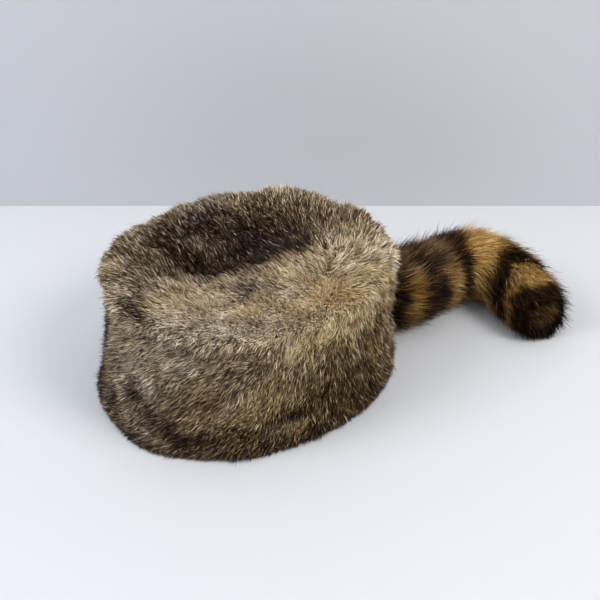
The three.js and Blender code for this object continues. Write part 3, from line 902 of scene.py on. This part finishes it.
hat_fur = fur_material("hat_fur", COLD_FUR, WARM_FUR, roughness=0.55, gloss=0.16)
tail_fur = fur_material("tail_fur", BROWN_FUR, GOLDEN_FUR, roughness=0.5, gloss=0.07)
undercoat = skin_material("undercoat", UNDERCOAT_LOW, UNDERCOAT_HIGH, scale=300, bump=0.6)
bare_leather = skin_material("bare_leather", LEATHER_LOW, LEATHER_HIGH, scale=60, bump=0.3)


def finish_piece(thing, slot, *materials):
    for material in materials:
        thing.data.materials.append(material)
    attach(thing, "root")


# The pelt skins: how many points there are to a ring, how deep the skins lie under the tips of
# the locks, and the places of their rings
COLUMNS, TAIL_COLUMNS = 120, 48
CROWN_PELT_DEPTH, BAND_PELT_DEPTH, TAIL_PELT_DEPTH = 0.007, 0.008, 0.012
TAIL_PELT_CLEARANCE = 0.002
CROWN_ROWS = np.linspace(0.02, 0.99, 24)
CROWN_UNDER_ROWS = (1, 0.93, 0.8, 0.6, 0.38, 0.16, 0.02)
BAND_ROWS = np.linspace(1.01, 1.98, 14)
BAND_INSIDE_ROWS = (0.0, 0.35, 0.7, 1.0)
TAIL_ROWS = np.linspace(0.03, 0.89, 36)


def crown_under(reach):
    """A ring of the crown's underside, which sinks with the pit."""
    plan = oval(all_round(COLUMNS), HEAD_WIDTH / 2 * reach, HEAD_LENGTH / 2 * reach)
    plan[:, 0] += CROWN_MIDDLE[0] * HALF_WIDTH * (1 - reach)
    plan[:, 1] += CROWN_MIDDLE[1] * HALF_LENGTH * (1 - reach)
    top = CROWN_RISE + crown_lift(plan[:, 0], plan[:, 1])
    drop = np.minimum(0, top - CROWN_WALL) if reach < 1 else np.zeros(COLUMNS)
    return np.column_stack([plan, SEAM + drop])


def band_inside(height):
    """A ring of the band's bare inside, at that share of its height."""
    plan = oval(all_round(COLUMNS), HEAD_WIDTH / 2, HEAD_LENGTH / 2)
    return np.column_stack([plan, np.full(COLUMNS, BAND_HEIGHT * height)])


outside = offset_rings(hat_point, CROWN_ROWS, CROWN_PELT_DEPTH, COLUMNS)
inside = [crown_under(reach) for reach in CROWN_UNDER_ROWS]
crown_pelt = rings_mesh(
    "crown_pelt", outside + inside, is_loop=False, outside_rows=len(outside),
)
finish_piece(crown_pelt, "crown_fur", undercoat, bare_leather)
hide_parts("crown")

outside = offset_rings(hat_point, BAND_ROWS, BAND_PELT_DEPTH, COLUMNS)
inside = [band_inside(height) for height in BAND_INSIDE_ROWS]
band_pelt = rings_mesh(
    "band_pelt", outside + inside, is_loop=True, outside_rows=len(outside),
)
finish_piece(band_pelt, "band_fur", undercoat, bare_leather)
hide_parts("side_band")

outside = offset_rings(tail_point, TAIL_ROWS, TAIL_PELT_DEPTH, TAIL_COLUMNS)
for ring in outside:
    ring[:, 2] = np.maximum(ring[:, 2], TAIL_PELT_CLEARANCE)
tail_pelt = rings_mesh("tail_pelt", outside, is_loop=False, outside_rows=len(outside))
finish_piece(tail_pelt, "tail_fur", undercoat)
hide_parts("tail")

# Kinds of hair, in metres and degrees. A hair starts at its depth under the surface and comes up
# to its lift, the sooner the greater the ease. Uneven, loose and relief vary the lift. It strays
# and rolls at random, and its width follows the taper from step to step. The tufts pull the
# hairs together. Mixed, own and tips are how tufts, hairs and their tips differ in darkness.
# Dark and light hairs are shares of all, and the bands are how much darker a hair is from root
# to tip.
UNDERFUR = {
    "steps": 1, "length": 0.008, "depth": 0.006, "lift": -0.001, "uneven": 0.0008, "loose": 0.0,
    "ease": 1.0, "relief": 0.0027, "stray": 24, "roll": 35, "width": 0.0012, "taper": (1.0,),
    "tufts": 16000, "pull": 0.2, "mixed": 0.06, "own": 0.12, "dark_hairs": 0.4, "darker": 0.25,
    "light_hairs": 0.0, "tips": 0.0, "bands": [(0, 0.4), (1, 0.06)],
}
GUARD_HAIR = {
    "steps": 2, "length": 0.006, "depth": 0.0044, "lift": 0.0008, "uneven": 0.001,
    "loose": 0.0045, "ease": 1.3, "relief": 0.0028, "stray": 24, "roll": 30, "width": 0.00044,
    "taper": (1.0, 1.0), "tufts": 32000, "pull": 0.22, "mixed": 0.09, "own": 0.15,
    "dark_hairs": 0.38, "darker": 0.32, "light_hairs": 0.02, "tips": 0.1,
    "bands": [(0, 0.45), (0.5, -0.13), (1, 0.02)],
}
CROWN_HAIR = {**GUARD_HAIR, "darker": 0.5, "own": 0.2, "mixed": 0.2, "light_hairs": 0.04}
TAIL_UNDERFUR = {
    "steps": 2, "length": 0.02, "depth": 0.012, "lift": -0.002, "uneven": 0.001, "loose": 0.0,
    "ease": 1.4, "relief": 0.002, "stray": 14, "roll": 35, "width": 0.0009, "taper": (0.7, 1.0),
    "tufts": 6000, "pull": 0.5, "mixed": 0.06, "own": 0.08, "dark_hairs": 0.1, "darker": 0.3,
    "light_hairs": 0.0, "tips": 0.0, "bands": [(0, 0.3), (0.5, 0.08), (1, 0.0)],
}
TAIL_GUARD_HAIR = {
    "steps": 3, "length": 0.022, "depth": 0.012, "lift": 0.0, "uneven": 0.0024, "loose": 0.012,
    "ease": 1.2, "relief": 0.003, "stray": 17, "roll": 30, "width": 0.00042,
    "taper": (0.6, 1.0, 0.7), "tufts": 5000, "pull": 0.45, "mixed": 0.07, "own": 0.1,
    "dark_hairs": 0.12, "darker": 0.3, "light_hairs": 0.04, "tips": 0.05,
    "bands": [(0, 0.3), (0.4, 0.0), (0.8, -0.04), (1, 0.02)],
}
BRUSH_HAIR = {
    "steps": 2, "length": 0.029, "roll": 40, "width": 0.0006, "taper": (0.8, 1.0), "own": 0.2,
    "dark_hairs": 0.3, "darker": 0.25, "light_hairs": 0.12, "tips": 0.1,
    "bands": [(0, 0.25), (0.5, 0.1), (1, -0.06)],
}

# Name, surface, the way its fur points, its tone, from and to which place, how many hairs, kind
COATS = [
    ("crown_underfur", hat_point, hat_flow, hat_tone, (0.01, 1.0), 90000, UNDERFUR),
    ("crown_guard_hair", hat_point, hat_flow, hat_tone, (0.01, 0.99), 66000, CROWN_HAIR),
    ("band_underfur", hat_point, hat_flow, hat_tone, (1.0, 1.985), 100000, UNDERFUR),
    ("band_guard_hair", hat_point, hat_flow, hat_tone, (0.99, 1.98), 66000, GUARD_HAIR),
    ("tail_underfur", tail_point, tail_flow, tail_tone, (0.04, 0.93), 46000, TAIL_UNDERFUR),
    ("tail_guard_hair", tail_point, tail_flow, tail_tone, (0.04, 0.93), 39000, TAIL_GUARD_HAIR),
]
COAT_SEED, BRUSH_SEED = 100, 110
for seed, (name, surface, flow, tone, span, count, hair) in enumerate(COATS, COAT_SEED):
    piece = fur(name, surface, flow, tone, span, count, hair, seed)
    slot = name.split("_")[0] + "_fur"
    finish_piece(piece, slot, tail_fur if slot == "tail_fur" else hat_fur)
finish_piece(tail_brush("tail_brush", 9000, BRUSH_HAIR, BRUSH_SEED), "tail_fur", tail_fur)


def direction(azimuth, elevation):
    """The way from the hat to a place round it, in radians from its front and its foot."""
    level = math.cos(elevation)
    return Vector((math.sin(azimuth) * level, -math.cos(azimuth) * level, math.sin(elevation)))


def facing(data, target, way, distance):
    """A camera or light at that distance from the target, turned to it."""
    thing = bpy.data.objects.new(data.name, data)
    thing.location = target + way * distance
    thing.rotation_euler = (-way).to_track_quat("-Z", "Y").to_euler()
    bpy.context.scene.collection.objects.link(thing)
    return thing


# Camera, fitted to the photo's oval foot and rim
AZIMUTH, ELEVATION, DISTANCE = math.radians(56), math.radians(35), 0.8
TARGET_OFFSET = Vector((-0.0038, 0.0569, 0.040))
LENS, SENSOR_WIDTH = 56.7, 36
middle = Vector(HAT_MIDDLE)
lens = bpy.data.cameras.new("camera")
lens.lens = LENS
lens.sensor_width = SENSOR_WIDTH
bpy.context.scene.camera = facing(
    lens, middle + TARGET_OFFSET, direction(AZIMUTH, ELEVATION), DISTANCE,
)


def plain_material(name, colour, roughness):
    material = bpy.data.materials.new(name)
    material.use_nodes = True
    shader = material.node_tree.nodes["Principled BSDF"]
    shader.inputs["Base Color"].default_value = (*colour, 1)
    shader.inputs["Roughness"].default_value = roughness
    return material


def board(name, corners, material):
    mesh = bpy.data.meshes.new(name)
    mesh.from_pydata(corners, [], [(0, 1, 2, 3)])
    thing = bpy.data.objects.new(name, mesh)
    thing.data.materials.append(material)
    bpy.context.scene.collection.objects.link(thing)


def clear_from_behind(material):
    """Let the hat be seen through a board from the board's back."""
    nodes, links = material.node_tree.nodes, material.node_tree.links
    side_seen = nodes.new("ShaderNodeNewGeometry")
    clear = nodes.new("ShaderNodeBsdfTransparent")
    either = nodes.new("ShaderNodeMixShader")
    links.new(side_seen.outputs["Backfacing"], either.inputs["Fac"])
    links.new(nodes["Principled BSDF"].outputs["BSDF"], either.inputs[1])
    links.new(clear.outputs["BSDF"], either.inputs[2])
    links.new(either.outputs["Shader"], nodes["Material Output"].inputs["Surface"])


# The floor and the wall behind, as seen from the camera
FLOOR_REACH = 4
BACKDROP_BEHIND, BACKDROP_REACH, BACKDROP_HEIGHT = 0.268, 2, 1.2
away = Vector((-math.sin(AZIMUTH), math.cos(AZIMUTH), 0))
aside = Vector((math.cos(AZIMUTH), math.sin(AZIMUTH), 0))

floor_white = plain_material("floor_white", (0.62, 0.63, 0.65), roughness=0.5)
near, far = middle - away * FLOOR_REACH, middle + away * FLOOR_REACH
side = aside * FLOOR_REACH
board("floor", [near - side, near + side, far + side, far - side], floor_white)

wall_white = plain_material("wall_white", (0.56, 0.57, 0.6), roughness=0.6)
foot = middle + away * BACKDROP_BEHIND
side = aside * BACKDROP_REACH
rise = Vector((0, 0, BACKDROP_HEIGHT))
board("wall", [foot - side, foot + side, foot + side + rise, foot - side + rise], wall_white)
clear_from_behind(wall_white)


def softbox(name, turn, height, distance, size, power, colour):
    """A round area light. Its turn round the hat is counted from the camera, to the right."""
    light = bpy.data.lights.new(name, "AREA")
    light.shape = "DISK"
    light.size = size
    light.energy = power
    light.color = colour
    way = direction(AZIMUTH + math.radians(turn), math.radians(height))
    facing(light, middle, way, distance)


# Name, turn and height in degrees, distance and size in metres, power in watts, colour
SOFTBOXES = [
    ("right_softbox", 62, 48, 1.5, 0.7, 12, (1.0, 0.97, 0.93)),
    ("left_softbox", -70, 45, 1.5, 0.8, 12.5, (0.95, 0.97, 1.0)),
    ("top_softbox", 150, 70, 1.4, 0.9, 5, (0.96, 0.98, 1.0)),
]
for row in SOFTBOXES:
    softbox(*row)

ROOM_COLOUR, ROOM_STRENGTH = (0.9, 0.93, 1.0), 0.51
world = bpy.data.worlds.new("room")
world.use_nodes = True
background = world.node_tree.nodes["Background"]
background.inputs["Color"].default_value = (*ROOM_COLOUR, 1)
background.inputs["Strength"].default_value = ROOM_STRENGTH
bpy.context.scene.world = world
bpy.context.scene.view_settings.view_transform = "Standard"
bpy.context.scene.view_settings.look = "None"
